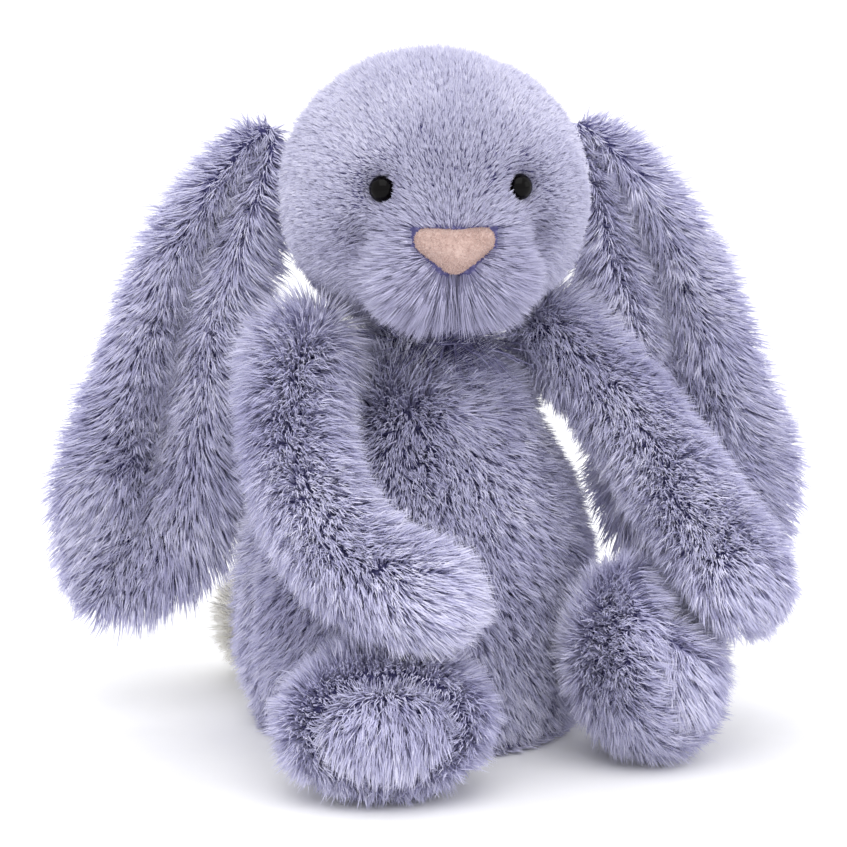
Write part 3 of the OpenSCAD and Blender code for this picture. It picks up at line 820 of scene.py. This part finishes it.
def earForm(side):
    tip = (ears["width"] - (ears["fold"] if side == right else 0)) / 2
    flat = stuffed(np.array(ears["root"]) * np.array([side, 1, 1]), ears["length"], (side * 90, side * 90),
                   (-ears["drop"], -68, -78, -72, -48), [ears["thickness"] / 2] * 2,
                   [9, tip * 0.64, tip * 0.84, tip, tip * 0.8], (0.05, 0.22))

    # a valley runs down the ear from its root, so that its inner edge stands as a second ridge
    def folded(t, v, depth=0):
        t, v = np.broadcast_arrays(np.asarray(t, float), np.asarray(v, float))
        p = flat(t, v, depth)
        off = earAcross(v) - valleyAt(t)
        fades = np.clip(t * 7, 0, 1) * np.clip((1 - t) * 3, 0, 1)
        shift = (9 * bell(off, 0.3) - 5 * bell(off + 0.62, 0.42) - 4 * bell(off - 0.8, 0.5)) * fades
        return p + np.stack([0 * shift, shift, 0 * shift], -1)

    return placed(folded, head["turn"], headCentre)


def earComb(side):  # away from the valley to both edges, and down the ear
    def comb(root, out, along, t, v):
        off = earAcross(v) - valleyAt(t)
        outer = unit(np.cross(along, np.array([0, side * 1.0, 0])))
        return along * 0.8 + outer * (np.tanh(off * 5) * 1.1)[:, None] + np.array([0, 0, -0.2])
    return comb


def earLength(root, t, v):  # short at the root, longer at both edges and most at the one by the head
    across = earAcross(v)
    return ((0.55 + 0.45 * np.clip(t * 10, 0, 1))
            * (0.92 + 0.2 * across**2 + 0.25 * np.clip(-across, 0, 1) ** 2))


for side, word, bodyName in ((left, "Left", "ear_left"), (right, "Right", "ear_right")):
    form = earForm(side)
    for layer in ("Front", "Back"):
        facing = 180 if (layer == "Front") == (side == left) else 0
        vs = (facing - 90, facing + 90)
        cad = f"ear_{word.lower()}_{layer.lower()}"
        clothPanel(f"ear{word}{layer}Backing", form, (0, 1), vs, *earCloth, backing, bodyName, cad,
                   rows=70, columns=30)
        growPile(f"ear{word}{layer}Pile", form, (poleGap, 1 - poleGap), vs, limbPile, plushYarn, bodyName,
                 earCloth[0], earLength, earComb(side))
print("ears done")

# ---- arms and legs

restGap = {right: 1.8, left: 5}
restAt = {right: np.array([-29, -82, 51.0]), left: np.array([63, -87, 45.0])}
restWay = {right: heading(10, 75), left: heading(50, 45)}
arm = {"length": 143, "thickness": 33, "paw": 40,
       "az": {right: (-44, 2, 62), left: (39, 15, 11)}, "el": {right: (-32, -43, -4), left: (-30, -40, -38)}}


def armForm(side):
    name = "arm_left_lift" if side == left else "arm_right_lift"
    d, paw, length = arm["thickness"], arm["paw"], arm["length"]
    start = pivot[name] - heading(arm["az"][side][0], arm["el"][side][0]) * d / 2
    return stuffed(start, length, arm["az"][side], arm["el"][side],
                   (d / 2, d / 2, d / 2 + 1, paw / 2 - 1, paw / 2),
                   (d / 2, d / 2, d / 2 + 1, paw / 2 - 2, paw / 2 - 2),
                   (d / 2 / length, paw / 2.2 / length), (0, 0),
                   [(restAt[side] + restWay[side] * restGap[side] / 2, -restWay[side])])


def limbComb(root, out, along, t, v):  # along the limb to its tip, sinking a little
    return along + np.array([0, 0, -0.3])


def armLength(root, t, v):  # longer round the shoulder, where it meets the body
    return 1 + 0.55 * np.clip(1 - t / 0.3, 0, 1)


for side, word, bodyName in ((left, "Left", "arm_left"), (right, "Right", "arm_right")):
    form = armForm(side)
    for panel, vs in (("Outer", (0, 180)), ("Inner", (180, 360))):
        cad = f"arm_{word.lower()}_{panel.lower()}"
        clothPanel(f"arm{word}{panel}Backing", form, (0, 1), vs, *bodyCloth, backing, bodyName, cad,
                   rows=60, columns=30)
        growPile(f"arm{word}{panel}Pile", form, (poleGap, 1 - poleGap), vs, limbPile, plushYarn, bodyName,
                 bodyCloth[0], armLength, limbComb)
    fillingPiece(f"arm{word}Filling", form, fillingEnds, fillingDepth, 0.5, fibre, bodyName,
                 f"arm_{word.lower()}_filling")

leg = {"length": 53, "hip": 36, "footLength": 67, "footWidth": 49, "az": {right: -22, left: 28},
       "roll": {right: 4, left: 100}}


def legForm(side):
    name = "leg_left_drop" if side == left else "leg_right_drop"
    hipAz, hipZ = {right: (-34, 24), left: (34, 33)}[side]
    start = np.array([0, 0, hipZ]) + heading(hipAz, 0) * 60
    d, long, wide = leg["hip"], leg["footLength"], leg["footWidth"]
    return stuffed(start, leg["length"], (leg["az"][side],) * 2, (0, 4),
                   (d / 2, long / 2 - 3, long / 2, long / 2), (d / 2, wide / 2 - 2, wide / 2, wide / 2),
                   (d / 2 / leg["length"], 0.4), (leg["roll"][side],) * 2,
                   [(np.array([0, 0, floorGap]), np.array([0, 0, -1.0])),
                    (restAt[side] - restWay[side] * restGap[side] / 2, restWay[side])])


soleAt = 12 / 16 - 0.86 * math.sin(math.radians(360 * 12 / 16)) / (2 * math.pi)
for side, word, bodyName in ((left, "Left", "leg_left"), (right, "Right", "leg_right")):
    form = shaped(legForm(side), lambda p, t, v: -1.8 * bell(t - soleAt, 0.035))

    def footLength(root, t, v):  # shorter along the sole's seam
        return 1 - 0.35 * bell(t - soleAt, 0.04)

    start = -90 if side == right else 90
    for panel, vs in (("Outer", (start, start + 180)), ("Inner", (start + 180, start + 360))):
        cad = f"leg_{word.lower()}_{panel.lower()}"
        clothPanel(f"leg{word}{panel}Backing", form, (0, soleAt), vs, *bodyCloth, backing, bodyName, cad)
        growPile(f"leg{word}{panel}Pile", form, (poleGap, soleAt), vs, limbPile, plushYarn, bodyName,
                 bodyCloth[0], footLength, limbComb)
    cad = f"leg_{word.lower()}_sole"
    clothPanel(f"leg{word}SoleBacking", form, (soleAt, 1), (0, 360), *bodyCloth, backing, bodyName, cad,
               columns=73)
    growPile(f"leg{word}SolePile", form, (soleAt, 1 - poleGap), (0, 360), limbPile, plushYarn, bodyName,
             bodyCloth[0], footLength, downwards)
    fillingPiece(f"leg{word}Filling", form, fillingEnds, fillingDepth, 0.5, fibre, bodyName,
                 f"leg_{word.lower()}_filling")
print("arms and legs done")

# ---- tail

tail = {"diameter": 37}
tailCentre = sum((np.array(c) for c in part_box("tail")), np.zeros(3)) * 500


def tailForm(t, v, depth=0):  # a ball: t from its lowest point to its highest, v round it
    t, v = np.broadcast_arrays(np.asarray(t, float), np.radians(np.asarray(v, float)))
    r = tail["diameter"] / 2 - depth
    a = np.pi * t
    return tailCentre + r * np.stack([np.sin(a) * np.cos(v), np.sin(a) * np.sin(v), -np.cos(a)], -1)


clothPanel("tailBacking", tailForm, (0, 1), (0, 360), *tailCloth, creamBacking, "tail", "tail", columns=61)
growPile("tailPile", tailForm, (0.01, 0.99), (0, 360), tailPile, creamYarn, "tail", tailCloth[0])

# ---- stage, light and camera

stageLook = {"world": 1.25, "reach": 6000}
floorMaterial, tree = newMaterial("palePaperSweep")
grain = texture(tree, "ShaderNodeTexNoise", 60.0).outputs[0]
finishMaterial(tree, addNode(tree, "ShaderNodeBsdfPrincipled", {
    "Base Color": twoTone(tree, grain, "#f2f2f4", "#f7f7f8"), "Roughness": 0.9}))
reach = stageLook["reach"]
floorCorners = [[-reach, -reach, -0.3], [reach, -reach, -0.3], [reach, reach, -0.3], [-reach, reach, -0.3]]
floor = meshPiece("paperFloor", floorCorners, [np.array([[0, 1, 2, 3]])], [floorMaterial])

world = bpy.data.worlds.new("studioWhite")
world.use_nodes = True
world.node_tree.nodes["Background"].inputs["Color"].default_value = (1, 1, 1, 1)
world.node_tree.nodes["Background"].inputs["Strength"].default_value = stageLook["world"]
bpy.context.scene.world = world


# A soft square lamp at a place in metres, facing the toy
def softLamp(name, place, size, power):
    light = bpy.data.lights.new(name, "AREA")
    light.shape, light.size, light.energy = "SQUARE", size, power
    lamp = bpy.data.objects.new(name, light)
    bpy.context.scene.collection.objects.link(lamp)
    lamp.location = place
    way = np.array([0, -0.02, 0.1]) - np.array(place)
    lamp.rotation_euler = (math.atan2(math.hypot(way[0], way[1]), -way[2]), 0, math.atan2(-way[0], way[1]))
    return lamp


softLamp("keyLamp", (-0.3, -0.7, 1.5), 1.5, 11)
softLamp("fillLamp", (1.2, -1.0, 0.7), 0.9, 3)

cameraLook = {"azimuth": -24, "elevation": 11, "distance": 1.15, "target": (-0.001, -0.008, 0.101),
              "lens": 150.4}
camera = bpy.data.cameras.new("camera")
camera.lens, camera.sensor_width, camera.clip_end = cameraLook["lens"], 36, 50
cameraObject = bpy.data.objects.new("camera", camera)
bpy.context.scene.collection.objects.link(cameraObject)
az, el = math.radians(cameraLook["azimuth"]), math.radians(cameraLook["elevation"])
back = np.array([math.sin(az) * math.cos(el), -math.cos(az) * math.cos(el), math.sin(el)])
cameraObject.location = np.array(cameraLook["target"]) + back * cameraLook["distance"]
cameraObject.rotation_euler = (math.pi / 2 - el, 0, az)
bpy.context.scene.camera = cameraObject
bpy.context.scene.view_settings.view_transform = "Standard"
